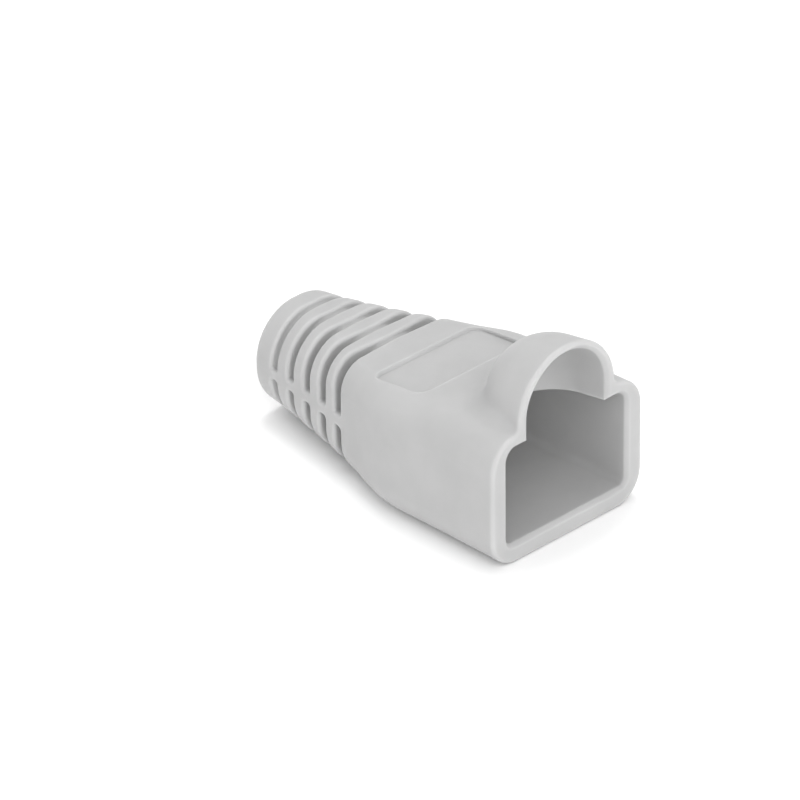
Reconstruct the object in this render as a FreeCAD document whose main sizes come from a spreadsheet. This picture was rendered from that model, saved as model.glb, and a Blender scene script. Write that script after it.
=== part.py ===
# Strain relief boot for an eight-way modular plug, moulded in one piece.
# Millimetres. X across, Y along the cable, Z up.
# The plug opening faces -Y, the cable leaves at +Y, the flat underside lies at Z = 0.
import FreeCAD, Part
import Sketcher
import math
import os

V = FreeCAD.Vector
doc = FreeCAD.newDocument("boot")
sheet = doc.addObject("Spreadsheet::Sheet", "dims")
ROW = [1]


def size(alias, value):
    """One plain number in the sheet, under a word."""
    r = ROW[0]
    ROW[0] += 1
    sheet.set("A%d" % r, alias)
    sheet.set("B%d" % r, repr(float(value)))
    sheet.setAlias("B%d" % r, alias)
    return float(value)


# ---------------------------------------------------------------- main sizes
LENGTH = size("overall_length", 28.4)
AXIS = size("cable_axis_height", 4.65)
HALF = LENGTH / 2.0

# plug cavity: opening, back, and the neck down to the cable bore
CAVITY = [
    ("opening", 0.0, 6.12, 4.88, 3.05, 0.90, 0.60),
    ("back", 11.0, 6.00, 4.25, 3.05, 0.90, 0.60),
    ("neck", 17.2, 2.98, 2.98, 2.98, 2.94, 2.94),
]
for c in CAVITY:
    size("cavity_%s_station" % c[0], c[1])
    size("cavity_%s_half_width" % c[0], c[2])
    size("cavity_%s_above" % c[0], c[3])
    size("cavity_%s_below" % c[0], c[4])
    size("cavity_%s_upper_radius" % c[0], c[5])
    size("cavity_%s_lower_radius" % c[0], c[6])
BORE_R = size("cable_bore_radius", 3.0)
BORE_START = size("cable_bore_start_station", 16.8)

HOOD_UP = size("hood_centre_above_axis", 6.19)
HOOD_R = size("hood_back_radius", 4.69)
HOOD_Y = size("hood_back_centre_station", 1.76)
HOOD_TILT = size("hood_crest_tilt", 8.0)
HOOD_WALL = size("hood_wall", 0.92)
HOOD_FOOT_LIP = size("hood_foot_fillet_at_lip", 0.5)
HOOD_FOOT = size("hood_foot_fillet_behind", 1.8)
ROOM_UP = size("latch_room_rise", 0.30)
LIP_FILLET = size("lip_fillet", 0.3)
TAIL_FILLET = size("tail_fillet", 0.8)
RIB_FILLET = size("rib_fillet", 0.25)
RIB_CORNER = size("rib_corner_fillet", 0.25)
HOOD_CUT = size("hood_cut_overrun", 1.0)
INNER_RIM = size("inner_rim_chamfer", 0.28)
BORE_RIM = size("bore_rim_fillet", 0.3)
PANEL_CORNER = size("panel_corner_radius", 0.9)

PANEL_W = size("panel_half_width", 5.30)
PANEL_FRONT = size("panel_front_station", 9.7)
PANEL_REAR = size("panel_rear_station", 14.55)
PANEL_DEEP = size("panel_depth", 0.24)

# ------------------------------------------------- outline of the outer skin
# station back from the opening, half width, above axis, below axis,
# upper corner radius, lower corner radius
OUTLINE = [
    (0.0, 7.71, 5.86, 4.67, 2.55, 2.60),
    (4.2, 7.72, 5.66, 4.67, 2.50, 2.70),
    (8.3, 7.72, 5.42, 4.67, 2.42, 2.72),
    (10.0, 7.71, 5.31, 4.67, 2.28, 2.70),
    (11.4, 7.66, 5.20, 4.67, 2.15, 2.68),
    (12.8, 7.36, 5.05, 4.67, 2.02, 2.70),
    (14.4, 6.87, 4.88, 4.66, 1.96, 2.76),
    (16.0, 6.33, 4.82, 4.62, 2.02, 2.84),
    (17.8, 5.84, 4.78, 4.55, 2.22, 2.94),
    (19.8, 5.45, 4.68, 4.43, 2.62, 3.02),
    (21.8, 5.12, 4.59, 4.32, 3.06, 3.20),
    (24.0, 4.82, 4.50, 4.27, 3.50, 3.52),
    (26.0, 4.56, 4.43, 4.27, 3.94, 3.88),
    (28.4, 4.33, 4.33, 4.27, 4.23, 4.19),
]


def outline_at(y):
    """The outline between its rows, by monotone cubics."""
    xs = [row[0] for row in OUTLINE]
    n = len(xs)
    i = 0
    while i < n - 2 and y > xs[i + 1]:
        i += 1
    h = xs[i + 1] - xs[i]
    t = (y - xs[i]) / h
    out = [y]
    for k in range(1, 6):
        ys = [row[k] for row in OUTLINE]
        d = [(ys[j + 1] - ys[j]) / (xs[j + 1] - xs[j]) for j in range(n - 1)]
        m = [d[0]]
        for j in range(1, n - 1):
            m.append(0.0 if d[j - 1] * d[j] <= 0 else 2 * d[j - 1] * d[j] / (d[j - 1] + d[j]))
        m.append(d[-1])
        out.append((1 + 2 * t) * (1 - t) ** 2 * ys[i] + t * (1 - t) ** 2 * h * m[i]
                   + t * t * (3 - 2 * t) * ys[i + 1] + t * t * (t - 1) * h * m[i + 1])
    return tuple(round(v, 4) for v in out)


# evenly spaced sections keep the lofted skin smooth
SECTIONS = [outline_at(LENGTH * k / 16.0) for k in range(17)]
for i, s in enumerate(SECTIONS):
    size("skin%d_station" % i, s[0])
    size("skin%d_half_width" % i, s[1])
    size("skin%d_above" % i, s[2])
    size("skin%d_below" % i, s[3])
    size("skin%d_upper_radius" % i, s[4])
    size("skin%d_lower_radius" % i, s[5])

# grooves: station of the middle, root radius
GROOVE_RR = size("groove_root_rounding", 0.34)
GROOVE_SLANT = size("groove_wall_slant", 6.0)
GROOVE_TOP = size("groove_cut_radius", 8.0)
GROOVE_ANG = size("groove_sweep", 170.0)
PITCH = size("groove_pitch", 2.0)
GROOVES = [(17.9 + PITCH * k, round(4.47 - 0.1 * k, 4)) for k in range(5)]
for i, g in enumerate(GROOVES):
    size("groove%d_station" % i, g[0])
    size("groove%d_root" % i, g[1])
sheet.recompute()
doc.recompute()

body = doc.addObject("PartDesign::Body", "solid_form")
body.Label = "solid_form"


def plane(role):
    for f in body.Origin.OriginFeatures:
        if f.Role == role:
            return f
    raise RuntimeError("no plane " + role)


def sketch(name, role, dx=0.0, dy=0.0, dz=0.0, bind=None):
    s = body.newObject("Sketcher::SketchObject", name)
    s.AttachmentSupport = [(plane(role), "")]
    s.MapMode = "FlatFace"
    s.AttachmentOffset = FreeCAD.Placement(V(dx, dy, dz), FreeCAD.Rotation())
    for path, expr in (bind or {}).items():
        s.setExpression(path, expr)
    return s


def line(s, a, b):
    return s.addGeometry(Part.LineSegment(V(a[0], a[1], 0), V(b[0], b[1], 0)), False)


def arc(s, c, r, a0, a1):
    circ = Part.Circle(V(c[0], c[1], 0), V(0, 0, 1), r)
    return s.addGeometry(Part.ArcOfCircle(circ, math.radians(a0), math.radians(a1)), False)


def con(s, *a):
    return s.addConstraint(Sketcher.Constraint(*a))


def bound(s, expr, *a):
    c = con(s, *a)
    s.setExpression("Constraints[%d]" % c, expr)
    return c


def section(name, station, w, up, down, ru, rl, e):
    """Rounded rectangle across the boot; the sketch origin is on the cable axis."""
    s = sketch(name, "XZ_Plane", 0, AXIS, HALF - station,
               {"AttachmentOffset.Base.y": "dims.cable_axis_height",
                "AttachmentOffset.Base.z": "dims.overall_length / 2 - " + e["station"]})
    # clockwise from the upper left corner, kept tangent all the way round
    top = line(s, (-w + ru, up), (w - ru, up))
    aur = arc(s, (w - ru, up - ru), ru, 0, 90)
    right = line(s, (w, up - ru), (w, -down + rl))
    alr = arc(s, (w - rl, -down + rl), rl, 270, 360)
    bot = line(s, (w - rl, -down), (-w + rl, -down))
    all_ = arc(s, (-w + rl, -down + rl), rl, 180, 270)
    left = line(s, (-w, -down + rl), (-w, up - ru))
    aul = arc(s, (-w + ru, up - ru), ru, 90, 180)
    con(s, "Tangent", top, 2, aur, 2)
    con(s, "Tangent", aur, 1, right, 1)
    con(s, "Tangent", right, 2, alr, 2)
    con(s, "Tangent", alr, 1, bot, 1)
    con(s, "Tangent", bot, 2, all_, 2)
    con(s, "Tangent", all_, 1, left, 1)
    con(s, "Tangent", left, 2, aul, 2)
    con(s, "Tangent", aul, 1, top, 1)
    con(s, "Horizontal", top)
    con(s, "Horizontal", bot)
    con(s, "Vertical", right)
    con(s, "Vertical", left)
    con(s, "Equal", aul, aur)
    con(s, "Equal", all_, alr)
    bound(s, e["upper"], "Radius", aur, ru)
    bound(s, e["lower"], "Radius", alr, rl)
    bound(s, e["width"], "DistanceX", -1, 1, right, 1, w)
    bound(s, e["width"], "DistanceX", left, 1, -1, 1, w)
    bound(s, e["above"], "DistanceY", -1, 1, top, 1, up)
    bound(s, e["below"], "DistanceY", bot, 1, -1, 1, down)
    return s


def recompute(what):
    doc.recompute()
    for o in doc.Objects:
        bad = [t for t in o.State if t in ("Invalid", "Error")]
        if bad:
            raise RuntimeError("%s: %s is %s %s" % (what, o.Name, bad, o.getStatusString()))


# ---------------------------------------------------------------- outer skin
rings = []
for i, s in enumerate(SECTIONS):
    rings.append(section("skin%d" % i, *s, e={
        "station": "dims.skin%d_station" % i, "width": "dims.skin%d_half_width" % i,
        "above": "dims.skin%d_above" % i, "below": "dims.skin%d_below" % i,
        "upper": "dims.skin%d_upper_radius" % i, "lower": "dims.skin%d_lower_radius" % i}))
recompute("skin sketches")
skin = body.newObject("PartDesign::AdditiveLoft", "skin")
skin.Profile = rings[0]
skin.Sections = rings[1:]
skin.Ruled = False
skin.Closed = False
recompute("skin")
print("skin", round(skin.Shape.Volume, 2), skin.Shape.isValid())

# flat resting face
s = sketch("underside_side", "YZ_Plane", -HALF, 0, 0,
           {"AttachmentOffset.Base.x": "-dims.overall_length / 2"})
corners = [(-1.0, -1.0), (LENGTH + 1.0, -1.0), (LENGTH + 1.0, 0.0), (-1.0, 0.0)]
box = [line(s, corners[k], corners[(k + 1) % 4]) for k in range(4)]
for k in range(4):
    con(s, "Coincident", box[k], 2, box[(k + 1) % 4], 1)
con(s, "Horizontal", box[0])
con(s, "Horizontal", box[2])
con(s, "Vertical", box[1])
con(s, "Vertical", box[3])
con(s, "PointOnObject", box[2], 1, -1)
bound(s, "dims.hood_cut_overrun", "DistanceX", box[3], 1, -1, 1, 1.0)
bound(s, "dims.hood_cut_overrun", "DistanceY", box[0], 1, -1, 1, 1.0)
bound(s, "dims.overall_length + dims.hood_cut_overrun", "DistanceX", -1, 1, box[1], 1, LENGTH + 1.0)
recompute("underside sketch")
flat = body.newObject("PartDesign::Pocket", "underside")
flat.Profile = s
flat.Midplane = True
flat.Type = "Length"
flat.setExpression("Length", "2 * dims.overall_length")
recompute("underside")


def pick(shape, test):
    return ["Edge%d" % (i + 1) for i, e in enumerate(shape.Edges) if test(e)]


def span(e):
    """Three points along an edge."""
    a, b = e.FirstParameter, e.LastParameter
    return [e.valueAt(a), e.valueAt((a + b) / 2.0), e.valueAt(b)]


def station(p):
    return p.y + HALF


def sound(name, f, before):
    print(name, round(f.Shape.Volume - before.Shape.Volume, 3), "valid", f.Shape.isValid(),
          "solids", len(f.Shape.Solids), "faces", len(f.Shape.Faces))
    if not f.Shape.isValid() or len(f.Shape.Solids) != 1:
        raise RuntimeError(name + " is not sound")
    if abs(f.Shape.Volume - before.Shape.Volume) < 1e-6:
        raise RuntimeError(name + " changed nothing")
    return f


sound("underside", flat, skin)


def fillet(name, alias, before, test):
    names = pick(before.Shape, test)
    print(name, "on", len(names), "edges")
    f = body.newObject("PartDesign::Fillet", name)
    f.Base = (before, names)
    f.setExpression("Radius", "dims." + alias)
    recompute(name)
    return sound(name, f, before)


# ------------------------------------------------------- latch guard, outside
def crest(name, role, rise):
    """Sketch for the guard outline. Its origin is where the guard's own axis meets the
    opening; the room inside is set a little higher than the guard itself."""
    up = "dims.cable_axis_height + dims.hood_centre_above_axis" + (" + dims.latch_room_rise" if rise else "")
    level = AXIS + HOOD_UP + rise
    if role == "YZ_Plane":
        return sketch(name, role, -HALF, level, 0,
                      {"AttachmentOffset.Base.x": "-dims.overall_length / 2", "AttachmentOffset.Base.y": up})
    return sketch(name, role, 0, -HALF, level,
                  {"AttachmentOffset.Base.y": "-dims.overall_length / 2", "AttachmentOffset.Base.z": up})


TILT = math.radians(HOOD_TILT)


def crest_points(radius, front):
    """Where the round back meets the shallow slope, and where the slope meets the front line."""
    tx = HOOD_Y + radius * math.sin(TILT)
    tz = radius * math.cos(TILT)
    fz = tz + (tx - front) * math.tan(TILT)
    return tx, tz, fz


def crest_side(name, radius, front, rexpr, fexpr, rise=0.0):
    """Half outline in the side view, for turning."""
    s = crest(name, "YZ_Plane", rise)
    tx, tz, fz = crest_points(radius, front)
    base = line(s, (front, 0), (HOOD_Y + radius, 0))
    back = arc(s, (HOOD_Y, 0), radius, 0, 90 - HOOD_TILT)
    slope = line(s, (tx, tz), (front, fz))
    face = line(s, (front, fz), (front, 0))
    con(s, "Coincident", base, 2, back, 1)
    con(s, "Tangent", back, 2, slope, 1)
    con(s, "Coincident", slope, 2, face, 1)
    con(s, "Coincident", face, 2, base, 1)
    con(s, "PointOnObject", back, 3, -1)
    con(s, "PointOnObject", base, 1, -1)
    con(s, "Horizontal", base)
    con(s, "Vertical", face)
    bound(s, "dims.hood_back_centre_station", "DistanceX", -1, 1, back, 3, HOOD_Y)
    bound(s, rexpr, "Radius", back, radius)
    bound(s, "180 deg - dims.hood_crest_tilt * 1 deg", "Angle", slope, math.pi - TILT)
    if front:
        bound(s, fexpr, "DistanceX", base, 1, -1, 1, -front)
    else:
        con(s, "PointOnObject", face, 1, -2)
    return s


def crest_plan(name, radius, front, rexpr, fexpr, rise=0.0):
    """The same outline mirrored, seen from above, for the upright walls below the axis."""
    s = crest(name, "XY_Plane", rise)
    tx, tz, fz = crest_points(radius, front)
    back = arc(s, (0, HOOD_Y), radius, HOOD_TILT, 180 - HOOD_TILT)
    right = line(s, (tz, tx), (fz, front))
    face = line(s, (fz, front), (-fz, front))
    left = line(s, (-fz, front), (-tz, tx))
    con(s, "Tangent", back, 1, right, 1)
    con(s, "Coincident", right, 2, face, 1)
    con(s, "Coincident", face, 2, left, 1)
    con(s, "Tangent", left, 2, back, 2)
    con(s, "PointOnObject", back, 3, -2)
    con(s, "Horizontal", face)
    con(s, "Equal", right, left)
    bound(s, "dims.hood_back_centre_station", "DistanceY", -1, 1, back, 3, HOOD_Y)
    bound(s, rexpr, "Radius", back, radius)
    bound(s, "90 deg - dims.hood_crest_tilt * 1 deg", "Angle", right, 2, face, 1, math.pi / 2 - TILT)
    if front:
        bound(s, fexpr, "DistanceY", right, 2, -1, 1, -front)
    else:
        con(s, "PointOnObject", right, 2, -1)
    return s


plan = crest_plan("guard_plan", HOOD_R, 0.0, "dims.hood_back_radius", None)
recompute("guard plan sketch")
walls = body.newObject("PartDesign::Pad", "guard_walls")
walls.Profile = plan
walls.Length = 3.0
walls.Reversed = True
recompute("guard walls")
sound("guard walls", walls, flat)

side = crest_side("guard_side", HOOD_R, 0.0, "dims.hood_back_radius", None)
recompute("guard side sketch")
guard = body.newObject("PartDesign::Revolution", "guard_dome")
guard.Profile = side
guard.ReferenceAxis = (side, ["H_Axis"])
guard.Angle = 180.0
guard.Midplane = True
recompute("guard dome")
sound("guard dome", guard, walls)


def at_foot(e):
    """Edges where the guard stands on the shoulder."""
    p = span(e)
    if max(station(q) for q in p) < 0.01:
        return False
    return all(AXIS + 4.5 < q.z < AXIS + HOOD_UP - 0.12 and abs(q.x) < 5.6 and station(q) < 7.2 for q in p)


# the foot is a tight corner at the lip that opens into a soft valley behind
foot = doc.addObject("Part::Fillet", "guard_foot")
foot.Base = body
edges = []
for i, e in enumerate(body.Shape.Edges):
    if at_foot(e):
        # radii in running order, from the right lip round the back to the left lip
        x = e.valueAt((e.FirstParameter + e.LastParameter) / 2).x
        start = HOOD_FOOT_LIP if x > 1.5 else HOOD_FOOT
        finish = HOOD_FOOT_LIP if x < -1.5 else HOOD_FOOT
        edges.append((i + 1, start, finish))
print("guard_foot on", len(edges), "edges")
foot.Edges = edges
recompute("guard foot")
if foot.Shape.isNull():
    raise RuntimeError("guard foot has no shape")
sound("guard foot", foot, guard)
lean = foot.Shape.Solids[0].CenterOfMass.x
print("left and right", round(lean, 6))
if abs(lean) > 0.0005:
    raise RuntimeError("the foot is not the same on both sides")

body = doc.addObject("PartDesign::Body", "strain_relief_boot")
body.Label = "strain_relief_boot"
body.BaseFeature = foot
recompute("boot body")
last = body.Group[0]


def at_opening_rim(e):
    return all(abs(station(q)) < 0.01 for q in span(e))


def at_tail(e):
    return all(abs(station(q) - LENGTH) < 0.01 for q in span(e))


last = fillet("tail_rim", "tail_fillet", last, at_tail)
last = fillet("opening_rim", "lip_fillet", last, at_opening_rim)

# ------------------------------------------------------------ sleeve grooves
def groove_sketch(name, sign):
    """Five round-bottomed grooves in the side view, cut by turning about the cable axis."""
    s = sketch(name, "YZ_Plane", -HALF, AXIS, 0,
               {"AttachmentOffset.Base.x": "-dims.overall_length / 2",
                "AttachmentOffset.Base.y": "dims.cable_axis_height"})
    th = math.radians(GROOVE_SLANT)
    rr = GROOVE_RR
    for i, (yc, root) in enumerate(GROOVES):
        cz = root + rr
        ty, tz = rr * math.cos(th), cz - rr * math.sin(th)
        my = ty + (GROOVE_TOP - tz) * math.tan(th)
        if sign > 0:
            a = arc(s, (yc, cz), rr, 180 + GROOVE_SLANT, 360 - GROOVE_SLANT)
            hi, lo = 2, 1
        else:
            a = arc(s, (yc, -cz), rr, GROOVE_SLANT, 180 - GROOVE_SLANT)
            hi, lo = 1, 2
        right = line(s, (yc + ty, sign * tz), (yc + my, sign * GROOVE_TOP))
        mouth = line(s, (yc + my, sign * GROOVE_TOP), (yc - my, sign * GROOVE_TOP))
        left = line(s, (yc - my, sign * GROOVE_TOP), (yc - ty, sign * tz))
        con(s, "Tangent", a, hi, right, 1)
        con(s, "Coincident", right, 2, mouth, 1)
        con(s, "Coincident", mouth, 2, left, 1)
        con(s, "Tangent", left, 2, a, lo)
        con(s, "Horizontal", mouth)
        con(s, "Equal", left, right)
        bound(s, "dims.groove_root_rounding", "Radius", a, rr)
        bound(s, "dims.groove%d_station" % i, "DistanceX", -1, 1, a, 3, yc)
        if sign > 0:
            bound(s, "dims.groove%d_root + dims.groove_root_rounding" % i, "DistanceY", -1, 1, a, 3, cz)
            bound(s, "dims.groove_cut_radius", "DistanceY", -1, 1, right, 2, GROOVE_TOP)
            bound(s, "90 deg - dims.groove_wall_slant * 1 deg", "Angle", right, math.pi / 2 - th)
        else:
            bound(s, "dims.groove%d_root + dims.groove_root_rounding" % i, "DistanceY", a, 3, -1, 1, cz)
            bound(s, "dims.groove_cut_radius", "DistanceY", right, 2, -1, 1, GROOVE_TOP)
            bound(s, "dims.groove_wall_slant * 1 deg - 90 deg", "Angle", right, th - math.pi / 2)
    return s


for name, sign in (("upper_grooves", 1), ("lower_grooves", -1)):
    s = groove_sketch(name + "_sketch", sign)
    recompute(name + " sketch")
    g = body.newObject("PartDesign::Groove", name)
    g.Profile = s
    g.ReferenceAxis = (s, ["H_Axis"])
    g.Midplane = True
    g.setExpression("Angle", "dims.groove_sweep")
    recompute(name)
    last = sound(name, g, last)


def radial(p):
    return math.hypot(p.x, p.z - AXIS)


HALF_BRIDGE = math.radians(90.0 - GROOVE_ANG / 2.0)


def on_bridge(p):
    """On the upright end faces that leave the side bridges standing."""
    return abs(math.atan2(abs(p.z - AXIS), abs(p.x)) - HALF_BRIDGE) < 0.004


def groove_corner(e):
    p = span(e)
    if not all(17.1 < station(q) < 27.0 for q in p):
        return False
    if not all(on_bridge(q) for q in p):
        return False
    return e.Curve.TypeId == "Part::GeomLine" and abs(radial(p[0]) - radial(p[2])) > 0.1


def skin_gap(p):
    """Signed distance from the outer skin, measured in the section through p."""
    y, w, up, down, ru, rl = outline_at(min(max(station(p), 0.0), LENGTH))
    x, z = abs(p.x), p.z - AXIS
    if z >= 0:
        r, cx, dz = ru, w - ru, z - (up - ru)
    else:
        r, cx, dz = rl, w - rl, -z - (down - rl)
    dx = x - cx
    return math.hypot(max(dx, 0.0), max(dz, 0.0)) + min(max(dx, dz), 0.0) - r


def five(e):
    a, b = e.FirstParameter, e.LastParameter
    return [e.valueAt(a + (b - a) * t) for t in (0.0, 0.25, 0.5, 0.75, 1.0)]


def groove_mouth(e):
    p = five(e)
    if not all(17.1 < station(q) < 27.0 for q in p):
        return False
    if max(abs(skin_gap(q)) for q in p) > 0.015:
        return False
    return min(abs(station(p[2]) - g[0]) for g in GROOVES) < 0.62


last = fillet("groove_corners", "rib_corner_fillet", last, groove_corner)
last = fillet("rib_edges", "rib_fillet", last, groove_mouth)

# ------------------------------------------------------------- shallow panel
top_front = outline_at(PANEL_FRONT)[2]
top_rear = outline_at(PANEL_REAR)[2]
PANEL_ZF = size("panel_floor_front_above_axis", round(top_front - PANEL_DEEP - 0.08, 4))
PANEL_ZR = size("panel_floor_rear_above_axis", round(top_rear - PANEL_DEEP, 4))
PANEL_TILT = size("panel_tilt", round(math.degrees(math.atan2(PANEL_ZF - PANEL_ZR, PANEL_REAR - PANEL_FRONT)), 4))
PANEL_LEN = size("panel_length_on_slope", round(math.hypot(PANEL_REAR - PANEL_FRONT, PANEL_ZF - PANEL_ZR), 4))
PANEL_LIFT = size("panel_cut_lift", 1.0)
PANEL_RUN = size("panel_rear_run", 1.0)
sheet.recompute()


def panel_outline(name, lift, run, liftexpr, runexpr):
    """Round-cornered outline in the plane of the panel floor, or lifted square off it.
    The lifted one is longer by the run, so that the rear wall lies back."""
    t = math.radians(PANEL_TILT)
    s = sketch(name, "XY_Plane")
    s.AttachmentOffset = FreeCAD.Placement(
        V(0, PANEL_FRONT - HALF + lift * math.sin(t), AXIS + PANEL_ZF + lift * math.cos(t)),
        FreeCAD.Rotation(V(1, 0, 0), -PANEL_TILT))
    s.setExpression("AttachmentOffset.Base.y", "dims.panel_front_station - dims.overall_length / 2 + "
                    + liftexpr + " * sin(dims.panel_tilt * 1 deg)")
    s.setExpression("AttachmentOffset.Base.z", "dims.cable_axis_height + dims.panel_floor_front_above_axis + "
                    + liftexpr + " * cos(dims.panel_tilt * 1 deg)")
    w, r, n = PANEL_W, PANEL_CORNER, PANEL_LEN + run
    front = line(s, (-w + r, 0), (w - r, 0))
    c1 = arc(s, (w - r, r), r, 270, 360)
    right = line(s, (w, r), (w, n - r))
    c2 = arc(s, (w - r, n - r), r, 0, 90)
    rear = line(s, (w - r, n), (-w + r, n))
    c3 = arc(s, (-w + r, n - r), r, 90, 180)
    left = line(s, (-w, n - r), (-w, r))
    c4 = arc(s, (-w + r, r), r, 180, 270)
    ring = [front, c1, right, c2, rear, c3, left, c4]
    for a, b in zip(ring, ring[1:] + ring[:1]):
        con(s, "Tangent", a, 2, b, 1)
    for a in (front, rear):
        con(s, "Horizontal", a)
    for a in (right, left):
        con(s, "Vertical", a)
    for a, b in ((c1, c2), (c2, c3), (c3, c4)):
        con(s, "Equal", a, b)
    con(s, "PointOnObject", front, 1, -1)
    bound(s, "dims.panel_corner_radius", "Radius", c1, r)
    bound(s, "dims.panel_half_width", "DistanceX", -1, 1, right, 1, w)
    bound(s, "dims.panel_half_width", "DistanceX", left, 1, -1, 1, w)
    bound(s, "dims.panel_length_on_slope" + runexpr, "DistanceY", -1, 1, rear, 1, n)
    return s


low = panel_outline("panel_floor", 0.0, 0.0, "0", "")
high = panel_outline("panel_mouth", PANEL_LIFT, PANEL_RUN, "dims.panel_cut_lift", " + dims.panel_rear_run")
recompute("panel outlines")
panel = body.newObject("PartDesign::SubtractiveLoft", "panel")
panel.Profile = low
panel.Sections = [high]
panel.Ruled = True
recompute("panel")
last = sound("panel", panel, last)

# ------------------------------------------------- plug cavity, neck and bore
def cavity_section(row):
    k = row[0]
    return section("cavity_" + k, row[1], *row[2:], e={
        "station": "dims.cavity_%s_station" % k, "width": "dims.cavity_%s_half_width" % k,
        "above": "dims.cavity_%s_above" % k, "below": "dims.cavity_%s_below" % k,
        "upper": "dims.cavity_%s_upper_radius" % k, "lower": "dims.cavity_%s_lower_radius" % k})


opening, back, neck = [cavity_section(row) for row in CAVITY]
back_again = cavity_section(CAVITY[1])
recompute("cavity sketches")
for name, a, b in (("cavity", opening, back), ("cavity_neck", back_again, neck)):
    f = body.newObject("PartDesign::SubtractiveLoft", name)
    f.Profile = a
    f.Sections = [b]
    f.Ruled = True
    recompute(name)
    last = sound(name, f, last)

s = sketch("bore_ring", "XZ_Plane", 0, AXIS, HALF - BORE_START,
           {"AttachmentOffset.Base.y": "dims.cable_axis_height",
            "AttachmentOffset.Base.z": "dims.overall_length / 2 - dims.cable_bore_start_station"})
ring = s.addGeometry(Part.Circle(V(0, 0, 0), V(0, 0, 1), BORE_R), False)
con(s, "Coincident", ring, 3, -1, 1)
bound(s, "dims.cable_bore_radius", "Radius", ring, BORE_R)
recompute("bore sketch")
bore = body.newObject("PartDesign::Pocket", "cable_bore")
bore.Profile = s
bore.Type = "Length"
bore.setExpression("Length", "dims.overall_length - dims.cable_bore_start_station + 1")
recompute("bore")
last = sound("bore", bore, last)

# -------------------------------------------------------- latch guard, inside
inner = "dims.hood_back_radius - dims.hood_wall"
plan = crest_plan("latch_room_plan", HOOD_R - HOOD_WALL, -HOOD_CUT, inner, "dims.hood_cut_overrun", ROOM_UP)
recompute("latch room plan")
room = body.newObject("PartDesign::Pocket", "latch_room_walls")
room.Profile = plan
room.Type = "Length"
room.Length = 3.0
recompute("latch room walls")
last = sound("latch room walls", room, last)

side = crest_side("latch_room_side", HOOD_R - HOOD_WALL, -HOOD_CUT, inner, "dims.hood_cut_overrun", ROOM_UP)
recompute("latch room side")
room = body.newObject("PartDesign::Groove", "latch_room_dome")
room.Profile = side
room.ReferenceAxis = (side, ["H_Axis"])
room.Angle = 180.0
room.Midplane = True
recompute("latch room dome")
last = sound("latch room dome", room, last)


def inner_rim(e):
    p = five(e)
    if not all(abs(station(q)) < 0.002 for q in p):
        return False
    # everything on the opening plane that is not the outer rim
    return all(abs(q.x) < 6.3 and AXIS - 3.2 < q.z for q in p) and not any(outer_line(q) for q in p)


def outer_line(q):
    r = math.hypot(q.x, max(q.z - (AXIS + HOOD_UP), 0.0))
    return q.z > AXIS + 4.95 and r > crest_points(HOOD_R, 0.0)[2] - 0.35


def bore_rim(e):
    p = five(e)
    return all(abs(station(q) - LENGTH) < 0.002 and abs(radial(q) - BORE_R) < 0.01 for q in p)


last = fillet("bore_rim", "bore_rim_fillet", last, bore_rim)
names = pick(last.Shape, inner_rim)
print("inner_rim on", len(names), "edges")
rim = body.newObject("PartDesign::Chamfer", "inner_rim")
rim.Base = (last, names)
rim.setExpression("Size", "dims.inner_rim_chamfer")
recompute("inner_rim")
last = sound("inner_rim", rim, last)

doc.recompute()
os.makedirs("parts", exist_ok=True)
shape = body.Shape
print("faces", len(shape.Faces), "edges", len(shape.Edges), "valid", shape.isValid(), "vol", shape.Volume)
shape.exportStep("parts/strain_relief_boot.step")
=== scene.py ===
"""Look of the strain relief boot: soft light-grey moulded plastic on a pale floor."""

import math

import bpy
from mathutils import Matrix, Vector


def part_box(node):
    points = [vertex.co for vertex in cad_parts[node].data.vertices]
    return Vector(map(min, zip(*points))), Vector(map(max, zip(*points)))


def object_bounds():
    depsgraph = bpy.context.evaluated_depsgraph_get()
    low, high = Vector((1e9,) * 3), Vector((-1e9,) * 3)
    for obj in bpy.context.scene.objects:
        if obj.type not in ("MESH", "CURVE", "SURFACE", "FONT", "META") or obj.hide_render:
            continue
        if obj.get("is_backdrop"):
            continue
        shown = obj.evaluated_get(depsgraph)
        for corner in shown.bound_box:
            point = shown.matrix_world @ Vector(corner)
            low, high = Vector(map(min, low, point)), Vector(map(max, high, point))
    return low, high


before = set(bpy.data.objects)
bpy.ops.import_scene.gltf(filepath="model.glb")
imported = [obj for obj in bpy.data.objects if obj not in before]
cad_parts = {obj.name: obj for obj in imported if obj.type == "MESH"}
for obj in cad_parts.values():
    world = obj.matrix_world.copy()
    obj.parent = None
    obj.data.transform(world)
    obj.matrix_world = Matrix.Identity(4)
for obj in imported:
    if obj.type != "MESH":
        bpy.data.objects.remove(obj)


def plain(value):
    """Any nest of vectors and tuples as lists of numbers."""
    if isinstance(value, dict):
        return {str(k): plain(v) for k, v in value.items()}
    try:
        return [plain(v) for v in value]
    except TypeError:
        return float(value)


CAD_BOX = plain(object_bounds())
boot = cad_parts["strain_relief_boot"]
low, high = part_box("strain_relief_boot")
HALF = (high.y - low.y) / 2.0

# ------------------------------------------------------------------ surface
# One moulded plastic: fine spark-eroded texture and very faint flow mottling.
# All of it is by place on the part itself.
mat = bpy.data.materials.new("boot_plastic")
mat.use_nodes = True
nt = mat.node_tree
nt.nodes.clear()
N, L = nt.nodes, nt.links


def node(kind, x, y, **props):
    n = N.new(kind)
    n.location = (x, y)
    for k, v in props.items():
        setattr(n, k, v)
    return n


out = node("ShaderNodeOutputMaterial", 900, 0)
bsdf = node("ShaderNodeBsdfPrincipled", 600, 0)
L.new(bsdf.outputs["BSDF"], out.inputs["Surface"])
bsdf.inputs["Metallic"].default_value = 0.0
bsdf.inputs["IOR"].default_value = 1.46
bsdf.inputs["Specular IOR Level"].default_value = 0.35

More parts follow.
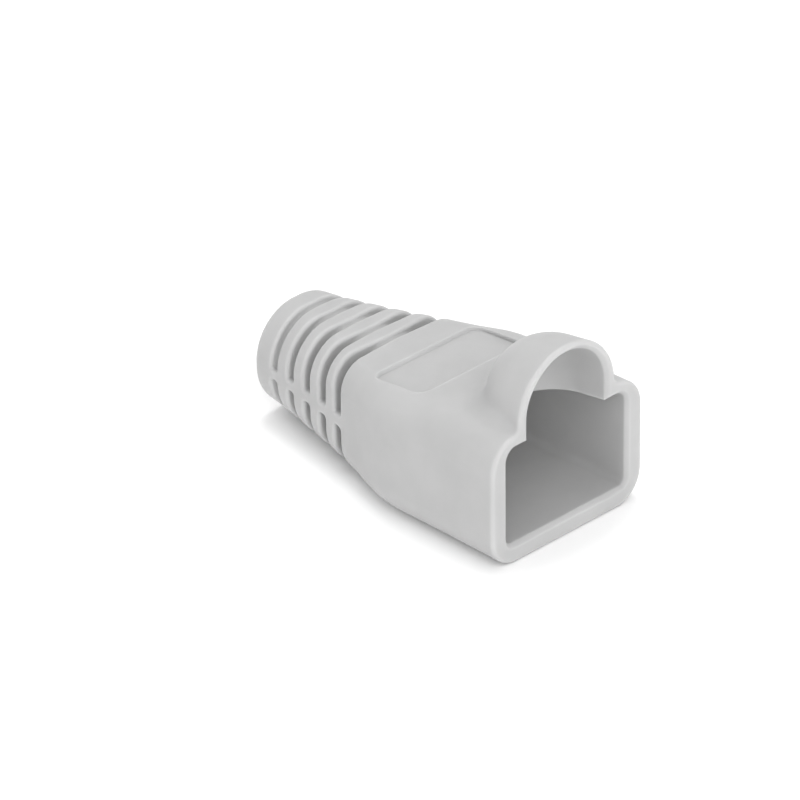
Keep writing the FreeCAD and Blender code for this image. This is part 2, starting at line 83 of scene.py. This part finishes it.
coord = node("ShaderNodeTexCoord", -1200, 0)


def noise(scale, detail, rough, x, y, squash=None):
    n = node("ShaderNodeTexNoise", x, y)
    n.inputs["Scale"].default_value = scale
    n.inputs["Detail"].default_value = detail
    n.inputs["Roughness"].default_value = rough
    if squash:
        m = node("ShaderNodeMapping", x - 200, y)
        m.inputs["Scale"].default_value = squash
        L.new(coord.outputs["Object"], m.inputs["Vector"])
        L.new(m.outputs["Vector"], n.inputs["Vector"])
    else:
        L.new(coord.outputs["Object"], n.inputs["Vector"])
    return n


def ramp(src, lo, hi, c0, c1, x, y):
    r = node("ShaderNodeValToRGB", x, y)
    r.color_ramp.elements[0].position = lo
    r.color_ramp.elements[1].position = hi
    r.color_ramp.elements[0].color = (*c0, 1.0)
    r.color_ramp.elements[1].color = (*c1, 1.0)
    L.new(src, r.inputs["Fac"])
    return r


mottle = noise(260.0, 3.0, 0.55, -700, 260)
tone = ramp(mottle.outputs["Fac"], 0.35, 0.65, (0.426, 0.426, 0.426), (0.449, 0.449, 0.449), -450, 260)
L.new(tone.outputs["Color"], bsdf.inputs["Base Color"])

grain = noise(9000.0, 4.0, 0.6, -700, -60)
sheen = ramp(grain.outputs["Fac"], 0.30, 0.70, (0.47, 0.47, 0.47), (0.60, 0.60, 0.60), -450, -60)
L.new(sheen.outputs["Color"], bsdf.inputs["Roughness"])

# moulded edges are never sharp: the shading rounds each one a little further
soft_edge = node("ShaderNodeBevel", 60, -300)
soft_edge.samples = 8
soft_edge.inputs["Radius"].default_value = 0.00022

fine = node("ShaderNodeBump", 300, -300)
L.new(soft_edge.outputs["Normal"], fine.inputs["Normal"])
fine.inputs["Strength"].default_value = 0.20
fine.inputs["Distance"].default_value = 0.00002
L.new(grain.outputs["Fac"], fine.inputs["Height"])
L.new(fine.outputs["Normal"], bsdf.inputs["Normal"])

# a soft compound lets a little light through, which fills the narrow grooves
bsdf.inputs["Subsurface Weight"].default_value = 0.8
bsdf.inputs["Subsurface Radius"].default_value = (1.0, 1.0, 1.0)
bsdf.inputs["Subsurface Scale"].default_value = 0.0011

boot.data.materials.clear()
boot.data.materials.append(mat)

# -------------------------------------------------------------------- floor
floor_mesh = bpy.data.meshes.new("floor")
S = 1.2
LOW = -0.00001   # a hair under the resting face, so that the two never coincide
floor_mesh.from_pydata([(-S, -S, LOW), (S, -S, LOW), (S, S, LOW), (-S, S, LOW)], [], [(0, 1, 2, 3)])
floor = bpy.data.objects.new("floor", floor_mesh)
bpy.context.scene.collection.objects.link(floor)
floor_mat = bpy.data.materials.new("floor_pale")
floor_mat.use_nodes = True
fb = floor_mat.node_tree.nodes["Principled BSDF"]
fb.inputs["Base Color"].default_value = (0.97, 0.97, 0.97, 1.0)
fb.inputs["Roughness"].default_value = 0.9
fb.inputs["Specular IOR Level"].default_value = 0.1
floor_mesh.materials.append(floor_mat)
floor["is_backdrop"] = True

# ------------------------------------------------------------------- lights
world = bpy.data.worlds.new("room")
bpy.context.scene.world = world
world.use_nodes = True
bg = world.node_tree.nodes["Background"]
bg.inputs["Color"].default_value = (1.0, 1.0, 1.0, 1.0)
bg.inputs["Strength"].default_value = 0.80


def soft_light(name, place, aim, size, power):
    data = bpy.data.lights.new(name, "AREA")
    data.shape = "SQUARE"
    data.size = size
    data.energy = power
    o = bpy.data.objects.new(name, data)
    bpy.context.scene.collection.objects.link(o)
    o.location = place
    o.rotation_euler = (Vector(aim) - Vector(place)).to_track_quat("-Z", "Y").to_euler()
    return o


soft_light("key", (-0.16, -0.26, 0.32), (0.0, 0.0, 0.005), 0.24, 0.58)
soft_light("top", (0.05, 0.06, 0.43), (0.0, 0.0, 0.005), 0.16, 0.60)
soft_light("front", (-0.18, -0.39, 0.09), (0.0, 0.0, 0.005), 0.10, 0.50)

# ------------------------------------------------------------------- camera
# Seen from the plug end, left of it and above, through a long lens.
AZ, EL, ROLL = math.radians(44.3), math.radians(30.22), math.radians(-0.65)
FOCAL = 6646.0            # in units of the 800-wide frame
REF = (567.8, 534.86)     # where the middle of the opening's foot falls in the frame
DIST = 481.06             # to that point, in millimetres
forward = Vector((math.sin(AZ) * math.cos(EL), math.cos(AZ) * math.cos(EL), -math.sin(EL)))
right = Vector((math.cos(AZ), -math.sin(AZ), 0.0))
up = right.cross(forward)
c, s = math.cos(ROLL), math.sin(ROLL)
down = -up
row_x = right * c - down * s
row_y = right * s + down * c
row_z = forward
ref_cam = Vector(((REF[0] - 400.0) * DIST / FOCAL, (REF[1] - 400.0) * DIST / FOCAL, DIST))
ref_world = Vector((0.0, -HALF * 1000.0, 0.0))
place = ref_world - (row_x * ref_cam.x + row_y * ref_cam.y + row_z * ref_cam.z)
cam_data = bpy.data.cameras.new("camera")
cam = bpy.data.objects.new("camera", cam_data)
bpy.context.scene.collection.objects.link(cam)
cam_data.sensor_fit = "HORIZONTAL"
cam_data.sensor_width = 36.0
cam_data.lens = FOCAL * 36.0 / 800.0
cam_data.clip_start = 0.01
cam_data.clip_end = 10.0
m = Matrix.Identity(4)
for r in range(3):
    m[r][0] = row_x[r]
    m[r][1] = -row_y[r]
    m[r][2] = -row_z[r]
    m[r][3] = place[r] / 1000.0
cam.matrix_world = m
bpy.context.scene.camera = cam
bpy.context.scene.view_settings.view_transform = "Standard"
bpy.context.scene.view_settings.look = "None"

{"cad": CAD_BOX, "visual": plain(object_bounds())}
